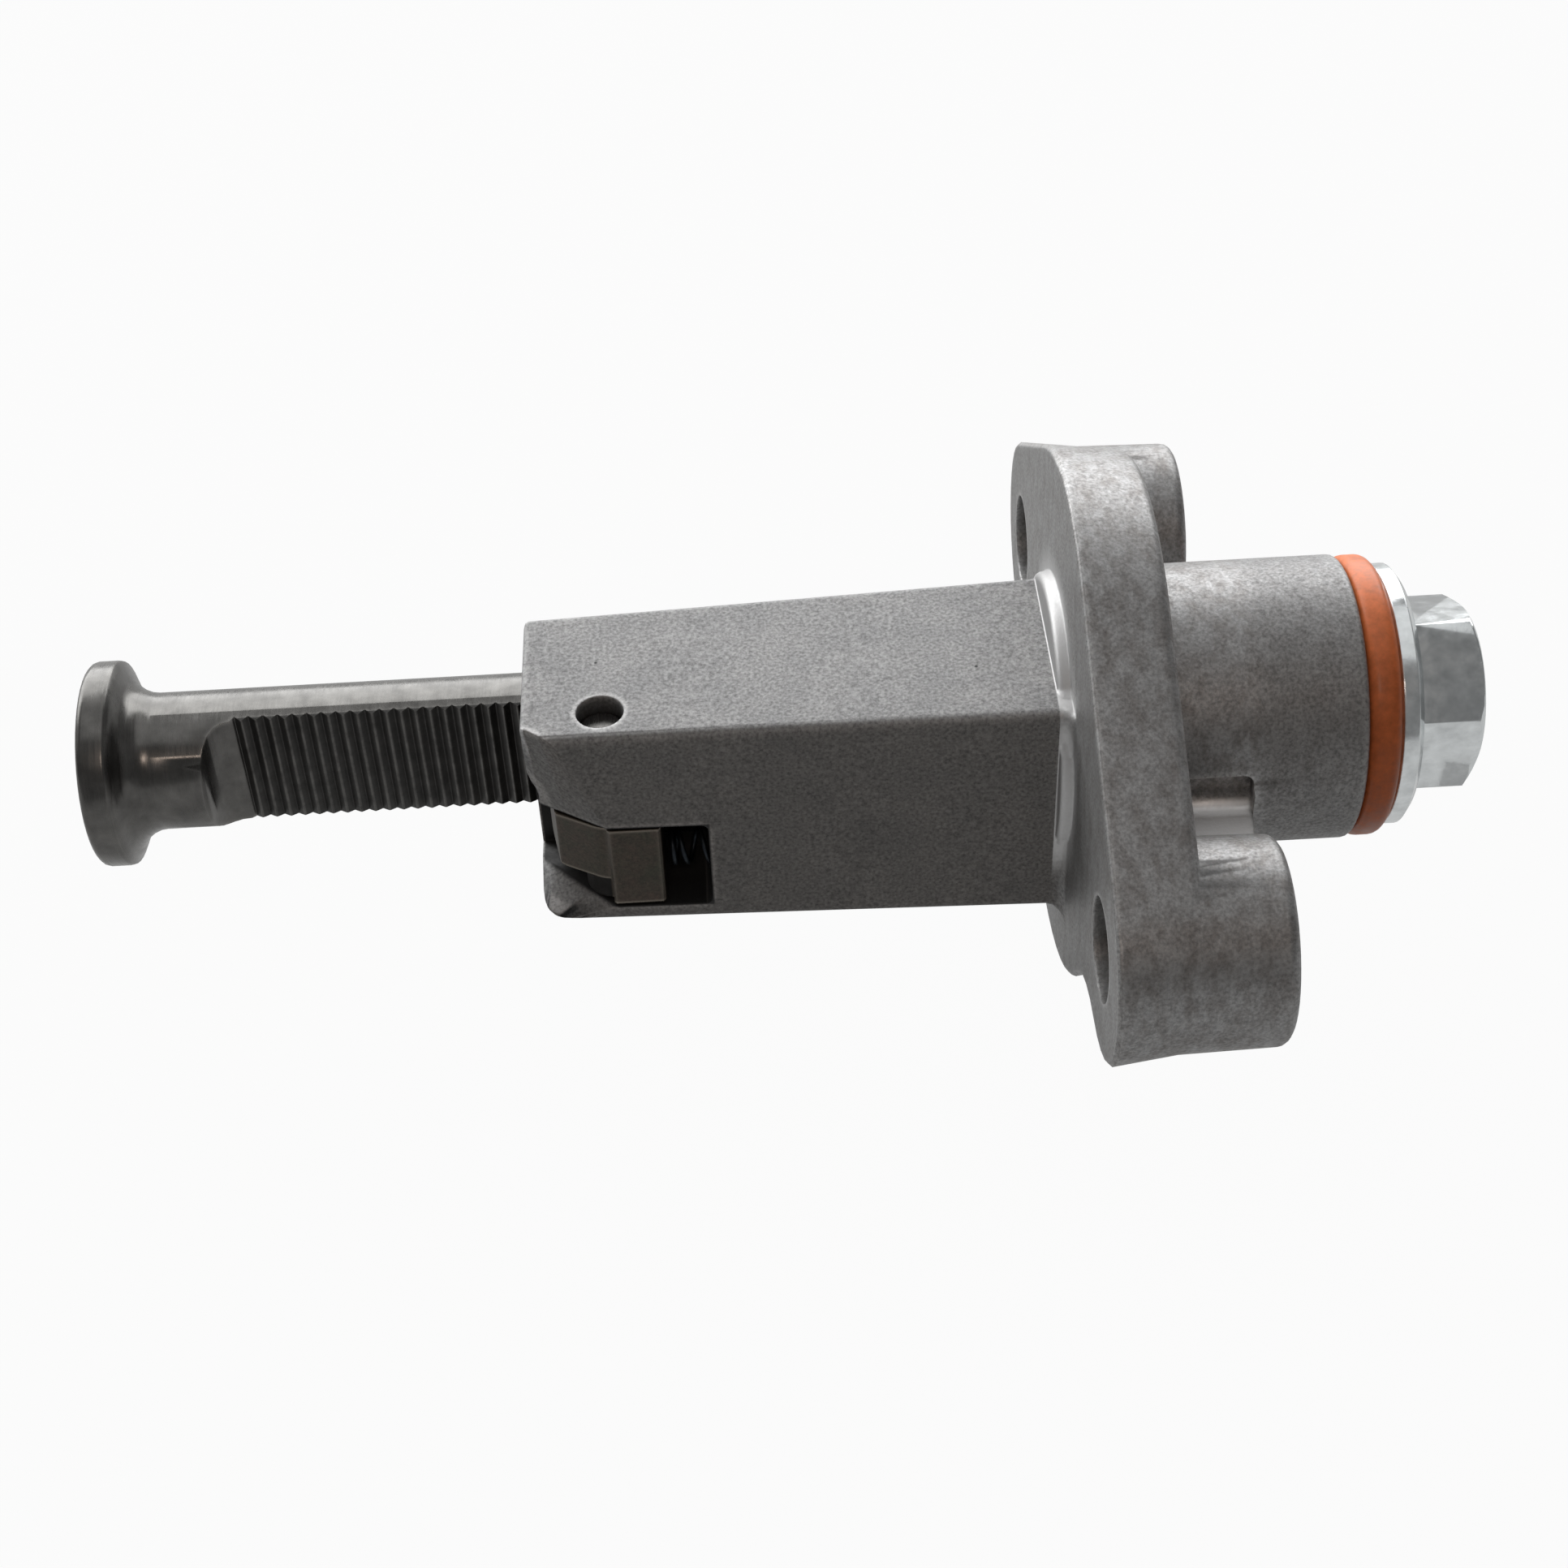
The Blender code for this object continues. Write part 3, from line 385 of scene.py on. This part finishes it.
def rack_steel_with_painted_shade(looks):
    """The milled rack: hardened steel drawn as a darker copy of the rod's, as painted shade,
    with the tops of its teeth lighter in patches as a painted highlight.
    """
    material, shader, add = new_material("rack_steel_painted_shade", 0.75, 0.4)
    point = object_point(add)
    cloud = add("TexNoise", {"Vector": point, "Scale": 1.0 / RACK_CLOUD, "Detail": 4.0,
                             "Roughness": 0.65})
    # A darker copy of the steel: painted shade over the rack
    tone = add("ValToRGB", {"Fac": cloud},
               stops=((0.3, shade(looks.steel, 0.25)), (0.72, shade(looks.steel, 0.5))))
    height = add("MapRange", {"Value": add("SeparateXYZ", {0: point}, "Y"),
                              "From Min": RACK_CREST_Y,
                              "From Max": RACK_CREST_Y + RACK_CREST_DEPTH,
                              "To Min": 1.0, "To Max": 0.0})
    # Lighter along the tops of the teeth, in patches: a painted highlight
    crest_highlight = add("MapRange", {"Value": height, "From Min": 0.72, "From Max": 0.95},
                interpolation_type='SMOOTHSTEP')
    rubbed_and_highlit = add("MapRange", {"Value": cloud, "From Min": 0.35, "From Max": 0.6,
                              "To Min": 0.3})
    crest_highlight = add("Math", {0: crest_highlight, 1: rubbed_and_highlit}, operation='MULTIPLY')
    tone = add("Mix", {SHARE: crest_highlight, UNDER: tone, OVER: shade(looks.steel, 1.1)}, MIXED,
               data_type='RGBA')
    set_inputs(shader, {"Base Color": tone, "Normal": relief(add, cloud, 0.1, 0.02, 0.06)})
    return material


def sintered_steel(looks):
    """Pressed and sintered steel, steam treated: a dull, pored brown-grey.

    The pores are drawn at 0.22 mm, several times too large, so that they show. The heel
    low in the window and the deep places carry painted shade, and outward edges are lighter
    as wear and as a painted highlight.
    """
    material, shader, add = new_material("steam_treated_sintered_steel", 0.5, 0.5)
    point = object_point(add)
    pores = add("TexNoise", {"Vector": point, "Scale": 1.0 / SINTER_PORES, "Detail": 3.0,
                             "Roughness": 0.7})
    cloud = add("TexNoise", {"Vector": point, "Scale": 1.0 / SINTER_CLOUD, "Detail": 3.0,
                             "Roughness": 0.6})
    tone = add("ValToRGB", {"Fac": pores},
               stops=((0.32, shade(looks.sintered, 0.6)), (0.66, shade(looks.sintered, 1.4))))
    tint = add("ValToRGB", {"Fac": cloud},
               stops=((0.3, shade(linear("#D3DCC8"))), (0.7, shade(linear("#FFE6DE")))))
    tone = add("Mix", {SHARE: 1.0, UNDER: tone, OVER: tint}, MIXED,
               data_type='RGBA', blend_type='MULTIPLY')
    # The heel and the deep places: painted shade
    heel_and_recess_shade = add("Math", {0: inside(add, point, HEEL_SHADE_LOW, HEEL_SHADE_HIGH, 0.05),
                        1: recess_shade(add, 3.0)}, operation='MAXIMUM')
    # Outward edges lighter as wear and painted highlight; heel and deep places painted shade
    for share, factor in ((worn_and_highlit_edges(add, 0.3), 4.0), (heel_and_recess_shade, 0.12)):
        tone = add("Mix", {SHARE: share, UNDER: tone, OVER: shade(looks.sintered, factor)},
                   MIXED, data_type='RGBA')
    set_inputs(shader, {"Base Color": tone, "Normal": relief(add, pores, 0.4, 0.02, 0.16)})
    return material


def oiled_spring_wire(looks):
    """Oil-tempered spring wire: drawn steel with a dark blue-grey skin."""
    material, shader, add = new_material("oil_tempered_spring_wire", 0.9, 0.45)
    drawn = add("TexNoise", {"Vector": object_point(add), "Scale": 1.0 / WIRE_GRAIN,
                             "Detail": 2.0, "Roughness": 0.5})
    tone = add("ValToRGB", {"Fac": drawn},
               stops=((0.3, shade(looks.wire, 0.7)), (0.7, shade(looks.wire, 1.3))))
    set_inputs(shader, {"Base Color": tone})
    return material


def zinc_plate(looks):
    """Bright zinc plating: a pale silver with a haze of passivation and a faint blue cast."""
    material, shader, add = new_material("bright_zinc_plating", 0.95, 0.24)
    haze = add("TexNoise", {"Vector": object_point(add), "Scale": 1.0 / ZINC_HAZE,
                            "Detail": 4.0, "Roughness": 0.6})
    tone = add("ValToRGB", {"Fac": haze},
               stops=((0.3, shade(looks.zinc, 0.8)), (0.7, shade(looks.zinc, 1.1))))
    gloss = add("MapRange", {"Value": haze, "From Min": 0.3, "From Max": 0.7,
                             "To Min": 0.13, "To Max": 0.24})
    set_inputs(shader, {"Base Color": tone, "Roughness": gloss,
                        "Normal": relief(add, haze, 0.25, 0.05, 0.15)})
    return material


def moulded_silicone(looks):
    """Moulded silicone rubber: an even orange with a soft gloss and a little dust."""
    material, shader, add = new_material("moulded_silicone_rubber", 0.0, 0.4, 0.35)
    dust = add("TexNoise", {"Vector": object_point(add), "Scale": 1.0 / SILICONE_DUST,
                            "Detail": 4.0, "Roughness": 0.65})
    tone = add("ValToRGB", {"Fac": dust},
               stops=((0.35, shade(looks.seal, 0.82)), (0.75, shade(looks.seal, 1.18))))
    gloss = add("MapRange", {"Value": dust, "From Min": 0.35, "From Max": 0.75,
                             "To Min": 0.34, "To Max": 0.5})
    set_inputs(shader, {"Base Color": tone, "Roughness": gloss})
    return material


# Meshes

def merged_copy(node):
    """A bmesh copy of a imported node, in millimetres, with its loose triangles joined."""
    bm = bmesh.new()
    bm.from_mesh(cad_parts[node].data)
    bmesh.ops.remove_doubles(bm, verts=bm.verts, dist=WELD)
    bmesh.ops.scale(bm, vec=(1.0 / MM,) * 3, verts=bm.verts)
    flat = [edge for edge in bm.edges
            if len(edge.link_faces) == 2 and edge.calc_face_angle() < math.radians(FLAT_DEG)]
    bmesh.ops.dissolve_edges(bm, edges=flat, use_verts=False)
    return bm


def compression_spring(start, end, centre, coil_r, wire_r, turns, sides):
    """A compression spring along X: a wire section spun in three runs, the end ones closed."""
    closed_pitch = 2.0 * wire_r + CLOSED_GAP
    open_turns = turns - 2.0 * CLOSED_TURNS
    open_pitch = (end - start - 2.0 * wire_r - 2.0 * CLOSED_TURNS * closed_pitch) / open_turns
    bm = bmesh.new()
    section = bmesh.ops.create_circle(bm, segments=sides, radius=wire_r)["verts"]
    bmesh.ops.translate(bm, vec=(start + wire_r, coil_r, 0.0), verts=section)
    last = section + list(bm.edges)
    for run, pitch in ((CLOSED_TURNS, closed_pitch), (open_turns, open_pitch),
                       (CLOSED_TURNS, closed_pitch)):
        steps = round(run * COIL_STEPS)
        last = bmesh.ops.spin(bm, geom=last, cent=(0.0, 0.0, 0.0), axis=AXIS_X,
                              dvec=AXIS_X * (pitch * run / steps), angle=2.0 * math.pi * run,
                              steps=steps)["geom_last"]
    open_ends = [edge for edge in bm.edges if len(edge.link_faces) == 1]
    bmesh.ops.holes_fill(bm, edges=open_ends, sides=sides)
    bmesh.ops.recalc_face_normals(bm, faces=bm.faces)
    bmesh.ops.translate(bm, vec=(0.0, *centre), verts=bm.verts)
    return bm


def coil_like(node, wire_r, turns, sides):
    """A finer spring with the place and size of a packed one."""
    low, high = (Vector(corner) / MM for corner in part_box(node))
    centre = ((low.y + high.y) / 2.0, (low.z + high.z) / 2.0)
    coil_r = (high.y - low.y) / 2.0 - wire_r
    return compression_spring(low.x, high.x, centre, coil_r, wire_r, turns, sides)


def press_with_plunger(piece):
    """Give the main spring its own mesh; it is not shortened here."""
    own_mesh(piece)


def seal_ring(outer_r, bore_r, rounding):
    """The seal as it sits when squeezed: a round-edged ring between spigot and collar."""
    bm = bmesh.new()
    width = COLLAR_FACE_X - SPIGOT_END_X - 2.0 * SEAL_GAP
    middle = ((SPIGOT_END_X + COLLAR_FACE_X) / 2.0, (outer_r + bore_r) / 2.0, 0.0)
    bmesh.ops.create_grid(bm, x_segments=1, y_segments=1, size=0.5)
    bmesh.ops.scale(bm, vec=(width, outer_r - bore_r, 1.0), verts=bm.verts)
    bmesh.ops.translate(bm, vec=middle, verts=bm.verts)
    bmesh.ops.bevel(bm, geom=bm.verts[:], offset=rounding, affect='VERTICES',
                    segments=SEAL_EDGE_STEPS, profile=0.5, material=-1)
    bmesh.ops.delete(bm, geom=bm.faces[:], context='FACES_ONLY')
    bmesh.ops.spin(bm, geom=bm.verts[:] + bm.edges[:], cent=(0.0, 0.0, 0.0), axis=AXIS_X,
                   angle=2.0 * math.pi, steps=SEAL_STEPS, use_merge=True)
    bmesh.ops.recalc_face_normals(bm, faces=bm.faces)
    return bm


def finish_piece(name, bm, material, body, sharp_deg=SHARP_DEG):
    """Make the finished object, in metres at the origin, and let it ride on its body."""
    bmesh.ops.scale(bm, vec=(MM,) * 3, verts=bm.verts)
    mesh = bpy.data.meshes.new(name)
    bm.to_mesh(mesh)
    bm.free()
    mesh.materials.append(material)
    mesh.shade_smooth()
    mesh.set_sharp_from_angle(angle=math.radians(sharp_deg))
    piece = bpy.data.objects.new(name, mesh)
    bpy.context.scene.collection.objects.link(piece)
    even = piece.modifiers.new("flat_faces", 'WEIGHTED_NORMAL')
    even.keep_sharp = True
    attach(piece, body)
    return piece


# Sizes and colours that a user would change

def colour_property(name, description, hex_colour):
    """A colour that a user may change."""
    return bpy.props.FloatVectorProperty(name=name, description=description, subtype='COLOR',
                                         size=3, min=0.0, max=1.0, default=linear(hex_colour))


def size_property(name, description, metres):
    """A length that a user may change."""
    return bpy.props.FloatProperty(name=name, description=description, default=metres, min=0.0,
                                   precision=5, unit='LENGTH')


class TensionerLooks(bpy.types.PropertyGroup):
    """Sizes, colours and lamp powers of the tensioner"""
    casting: colour_property("Casting", "Mean grey of the blasted aluminium", "#939393")
    steel: colour_property("Steel", "Grey of the plunger and the pin", "#605F5D")
    sintered: colour_property("Sintered steel", "Brown-grey of the pawl", "#49453F")
    wire: colour_property("Spring wire", "Blue-grey of the springs", "#2C3136")
    zinc: colour_property("Zinc", "Pale silver of the plug bolt", "#E4E8E9")
    seal: colour_property("Seal", "Orange of the silicone ring", "#E57D49")
    blast_grain: size_property("Blast grain", "Size of the casting's pits", 0.00024)
    edge_radius: size_property("Edge radius", "How softly the casting's edges are rounded", 0.00022)
    seal_radius: size_property("Seal radius", "Outer radius of the silicone ring", 0.0099)
    seal_bore: size_property("Seal bore", "Inner radius of the silicone ring", 0.00735)
    seal_rounding: size_property("Seal rounding", "Roundness of the ring's edges", 0.00075)
    main_wire_radius: size_property("Main wire", "Radius of the main spring's wire", 0.00038)
    pawl_wire_radius: size_property("Pawl wire", "Radius of the pawl spring's wire", 0.0002)
    main_turns: bpy.props.IntProperty(
        name="Main turns", description="Turns of the main spring", default=17, min=4)
    pawl_turns: bpy.props.IntProperty(
        name="Pawl turns", description="Turns of the pawl spring", default=6, min=4)
    wire_sides: bpy.props.IntProperty(
        name="Wire sides", description="Sides of the round spring wire", default=12, min=6, max=32)
    back_power: bpy.props.FloatProperty(
        name="Back power", description="Power of the tall softbox behind the part",
        default=9.2, min=0.0, unit='POWER')
    overhead_power: bpy.props.FloatProperty(
        name="Overhead power", description="Power of the wide softbox overhead",
        default=0.5, min=0.0, unit='POWER')
    side_power: bpy.props.FloatProperty(
        name="Side power", description="Power of the softbox beyond the plunger's pad",
        default=0.12, min=0.0, unit='POWER')
    front_power: bpy.props.FloatProperty(
        name="Front power", description="Power of the small lamp above the camera",
        default=0.14, min=0.0, unit='POWER')


def current_looks():
    """The sizes and colours in use."""
    return bpy.context.scene.tensioner_looks


class TENSIONER_OT_housing(bpy.types.Operator):
    """Build the cast housing"""
    bl_idname = "tensioner.housing"
    bl_label = "Housing"

    def execute(self, context):
        piece = finish_piece("housing_casting", merged_copy("housing"),
                             bead_blasted_casting(current_looks()), "housing",
                             CASTING_SHARP_DEG)
        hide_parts("housing")
        return {'FINISHED'}


class TENSIONER_OT_plunger(bpy.types.Operator):
    """Build the plunger with its rack, which carries painted shade"""
    bl_idname = "tensioner.plunger"
    bl_label = "Plunger"

    def execute(self, context):
        bm = merged_copy("plunger")
        for face in bm.faces:
            middle = face.calc_center_median()
            on_flat = middle.y > RACK_CREST_Y - 0.05 and face.normal.y < -0.2
            in_rack = RACK_X[0] < middle.x < RACK_X[1] and abs(middle.z) < RACK_HALF_Z
            if on_flat and in_rack:
                face.material_index = 1
        piece = finish_piece("plunger_rod", bm, satin_hardened_steel(current_looks()), "plunger")
        piece.data.materials.append(rack_steel_with_painted_shade(current_looks()))
        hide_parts("plunger")
        return {'FINISHED'}


class TENSIONER_OT_pawl(bpy.types.Operator):
    """Build the pawl and its pivot pin"""
    bl_idname = "tensioner.pawl"
    bl_label = "Pawl and pin"

    def execute(self, context):
        looks = current_looks()
        pawl = finish_piece("pawl_block", merged_copy("pawl"), sintered_steel(looks),
                            "pawl")
        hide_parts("pawl")
        pin = finish_piece("pivot_pin", merged_copy("pawl_pin"), satin_hardened_steel(looks),
                           "housing")
        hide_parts("pawl_pin")
        return {'FINISHED'}


class TENSIONER_OT_springs(bpy.types.Operator):
    """Build the two coil springs"""
    bl_idname = "tensioner.springs"
    bl_label = "Springs"

    def execute(self, context):
        looks = current_looks()
        wire = oiled_spring_wire(looks)
        for name, node, wire_r, turns in (
                ("main_coil", "main_spring", looks.main_wire_radius, looks.main_turns),
                ("pawl_coil", "pawl_spring", looks.pawl_wire_radius, looks.pawl_turns)):
            coil = coil_like(node, wire_r / MM, turns, looks.wire_sides)
            piece = finish_piece(name, coil, wire, "housing", ROUND_SHARP_DEG)
            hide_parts(node)
            if node == "main_spring":
                press_with_plunger(piece)
        return {'FINISHED'}


class TENSIONER_OT_plug(bpy.types.Operator):
    """Build the hex plug bolt and its sealing ring"""
    bl_idname = "tensioner.plug"
    bl_label = "Plug and sealing ring"

    def execute(self, context):
        looks = current_looks()
        plug = finish_piece("hex_plug", merged_copy("plug_bolt"), zinc_plate(looks),
                            "housing")
        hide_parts("plug_bolt")
        ring = seal_ring(looks.seal_radius / MM, looks.seal_bore / MM, looks.seal_rounding / MM)
        ring = finish_piece("seal", ring, moulded_silicone(looks), "housing",
                            ROUND_SHARP_DEG)
        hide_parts("sealing_ring")
        return {'FINISHED'}


# Stage

def camera_axes():
    """The camera's right, up and forward directions."""
    yaw, pitch, roll = (math.radians(a) for a in
                        (CAMERA_YAW_DEG, CAMERA_PITCH_DEG, CAMERA_ROLL_DEG))
    forward = Vector((math.sin(yaw) * math.cos(pitch), math.cos(yaw) * math.cos(pitch),
                      -math.sin(pitch)))
    level = Vector((math.cos(yaw), -math.sin(yaw), 0.0))
    down = forward.cross(level)
    right = math.cos(roll) * level + math.sin(roll) * down
    return right, right.cross(forward), forward


def add_camera():
    """The photograph's camera, at the place it was solved for."""
    right, up, forward = camera_axes()
    pitch = math.radians(CAMERA_PITCH_DEG)
    aim = Vector((AIM_ALONG, AIM_UP * math.sin(pitch), AIM_UP * math.cos(pitch)))
    camera = bpy.data.cameras.new("photo_camera")
    camera.sensor_width = SENSOR_WIDTH
    camera.lens = FOCAL_PIXELS / FRAME_PIXELS * SENSOR_WIDTH
    camera.clip_start = CLIP_START
    holder = bpy.data.objects.new("photo_camera", camera)
    turn = Matrix((right, up, -forward)).transposed().to_4x4()
    holder.matrix_world = Matrix.Translation((aim - CAMERA_DISTANCE * forward) * MM) @ turn
    bpy.context.scene.collection.objects.link(holder)
    bpy.context.scene.camera = holder


def add_lamp(name, place, sizes, power, colour):
    """An oblong area lamp that faces the part. Places are in metres."""
    lamp = bpy.data.lights.new(name, 'AREA')
    lamp.shape = 'RECTANGLE'
    lamp.size, lamp.size_y = sizes
    lamp.energy = power
    lamp.color = linear(colour)
    holder = bpy.data.objects.new(name, lamp)
    direction = Vector(LAMP_TARGET) - Vector(place)
    turn = direction.to_track_quat('-Z', 'Y').to_matrix().to_4x4()
    holder.matrix_world = Matrix.Translation(place) @ turn
    holder.visible_camera = False
    bpy.context.scene.collection.objects.link(holder)


def seen_directly(add, in_mirrors):
    """1 for the camera's own rays, and a share of it for what metal and glass mirror."""
    path = add("LightPath").node.outputs
    mirrored = add("Math", {0: path["Is Glossy Ray"], 1: path["Is Transmission Ray"]},
                   operation='ADD')
    mirrored = add("Math", {0: mirrored, 1: in_mirrors}, operation='MULTIPLY')
    return add("Math", {0: path["Is Camera Ray"], 1: mirrored}, operation='ADD')


def add_floor(under_z):
    """A pale floor that the camera sees as white, with the part's soft shadow kept."""
    bm = bmesh.new()
    bmesh.ops.create_grid(bm, x_segments=2, y_segments=2, size=FLOOR_HALF)
    bmesh.ops.translate(bm, vec=(0.0, 0.0, under_z), verts=bm.verts)
    mesh = bpy.data.meshes.new("floor")
    bm.to_mesh(mesh)
    bm.free()
    material = bpy.data.materials.new("pale_paper_floor")
    material.use_nodes = True
    nodes = material.node_tree.nodes
    nodes.remove(nodes["Principled BSDF"])
    add = partial(add_node, material.node_tree)
    paper = add("BsdfDiffuse", {"Color": shade(linear("#757573"))})
    white = add("Emission", {"Color": shade(linear("#FFFFFF")), "Strength": 1.0})
    share = add("Math", {0: seen_directly(add, FLOOR_IN_MIRRORS), 1: SEEN_LEVEL},
                operation='MULTIPLY')
    blend = add("MixShader", {0: share, 1: paper, 2: white})
    set_inputs(nodes["Material Output"], {"Surface": blend})
    mesh.materials.append(material)
    floor = bpy.data.objects.new("floor", mesh)
    bpy.context.scene.collection.objects.link(floor)
    floor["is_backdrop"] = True


def light_world():
    """A dim studio that the camera sees as white, and that metal mirrors as a pale grey."""
    world = bpy.data.worlds.new("studio")
    bpy.context.scene.world = world
    world.use_nodes = True
    add = partial(add_node, world.node_tree)
    level = add("MapRange", {"Value": seen_directly(add, WORLD_IN_MIRRORS),
                             "To Min": WORLD_LIGHT, "To Max": SEEN_LEVEL})
    set_inputs(world.node_tree.nodes["Background"],
               {"Color": shade(linear("#FFFFFF")), "Strength": level})


class TENSIONER_OT_stage(bpy.types.Operator):
    """Set up the floor, lamps, world and the photograph's camera"""
    bl_idname = "tensioner.stage"
    bl_label = "Stage"

    def execute(self, context):
        looks = current_looks()
        add_camera()
        add_floor(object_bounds()[0][2] - FLOOR_DROP)
        powers = (looks.back_power, looks.overhead_power, looks.side_power, looks.front_power)
        for (name, place, sizes, colour), power in zip(LAMPS, powers):
            add_lamp(name, place, sizes, power, colour)
        light_world()
        context.scene.view_settings.view_transform = 'Standard'
        return {'FINISHED'}


class TENSIONER_PT_panel(bpy.types.Panel):
    """Lists the tensioner's pieces and settings"""
    bl_idname = "TENSIONER_PT_panel"
    bl_label = "Chain tensioner"
    bl_space_type = 'VIEW_3D'
    bl_region_type = 'UI'
    bl_category = "Tensioner"

    def draw(self, context):
        layout = self.layout
        for name in TensionerLooks.__annotations__:
            layout.prop(context.scene.tensioner_looks, name)
        for operator in OPERATORS:
            layout.operator(operator.bl_idname)


OPERATORS = (TENSIONER_OT_housing, TENSIONER_OT_plunger, TENSIONER_OT_pawl,
             TENSIONER_OT_springs, TENSIONER_OT_plug, TENSIONER_OT_stage)
CLASSES = (TensionerLooks, *OPERATORS, TENSIONER_PT_panel)


def register():
    """Register the classes, and give the scene its sizes and colours."""
    for cls in CLASSES:
        bpy.utils.register_class(cls)
    bpy.types.Scene.tensioner_looks = bpy.props.PointerProperty(type=TensionerLooks)


def unregister():
    """Take back what register did."""
    del bpy.types.Scene.tensioner_looks
    for cls in reversed(CLASSES):
        bpy.utils.unregister_class(cls)


def main():
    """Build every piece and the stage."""
    register()
    bpy.ops.tensioner.housing()
    bpy.ops.tensioner.plunger()
    bpy.ops.tensioner.pawl()
    bpy.ops.tensioner.springs()
    bpy.ops.tensioner.plug()
    bpy.ops.tensioner.stage()


if __name__ == "__main__":
    main()
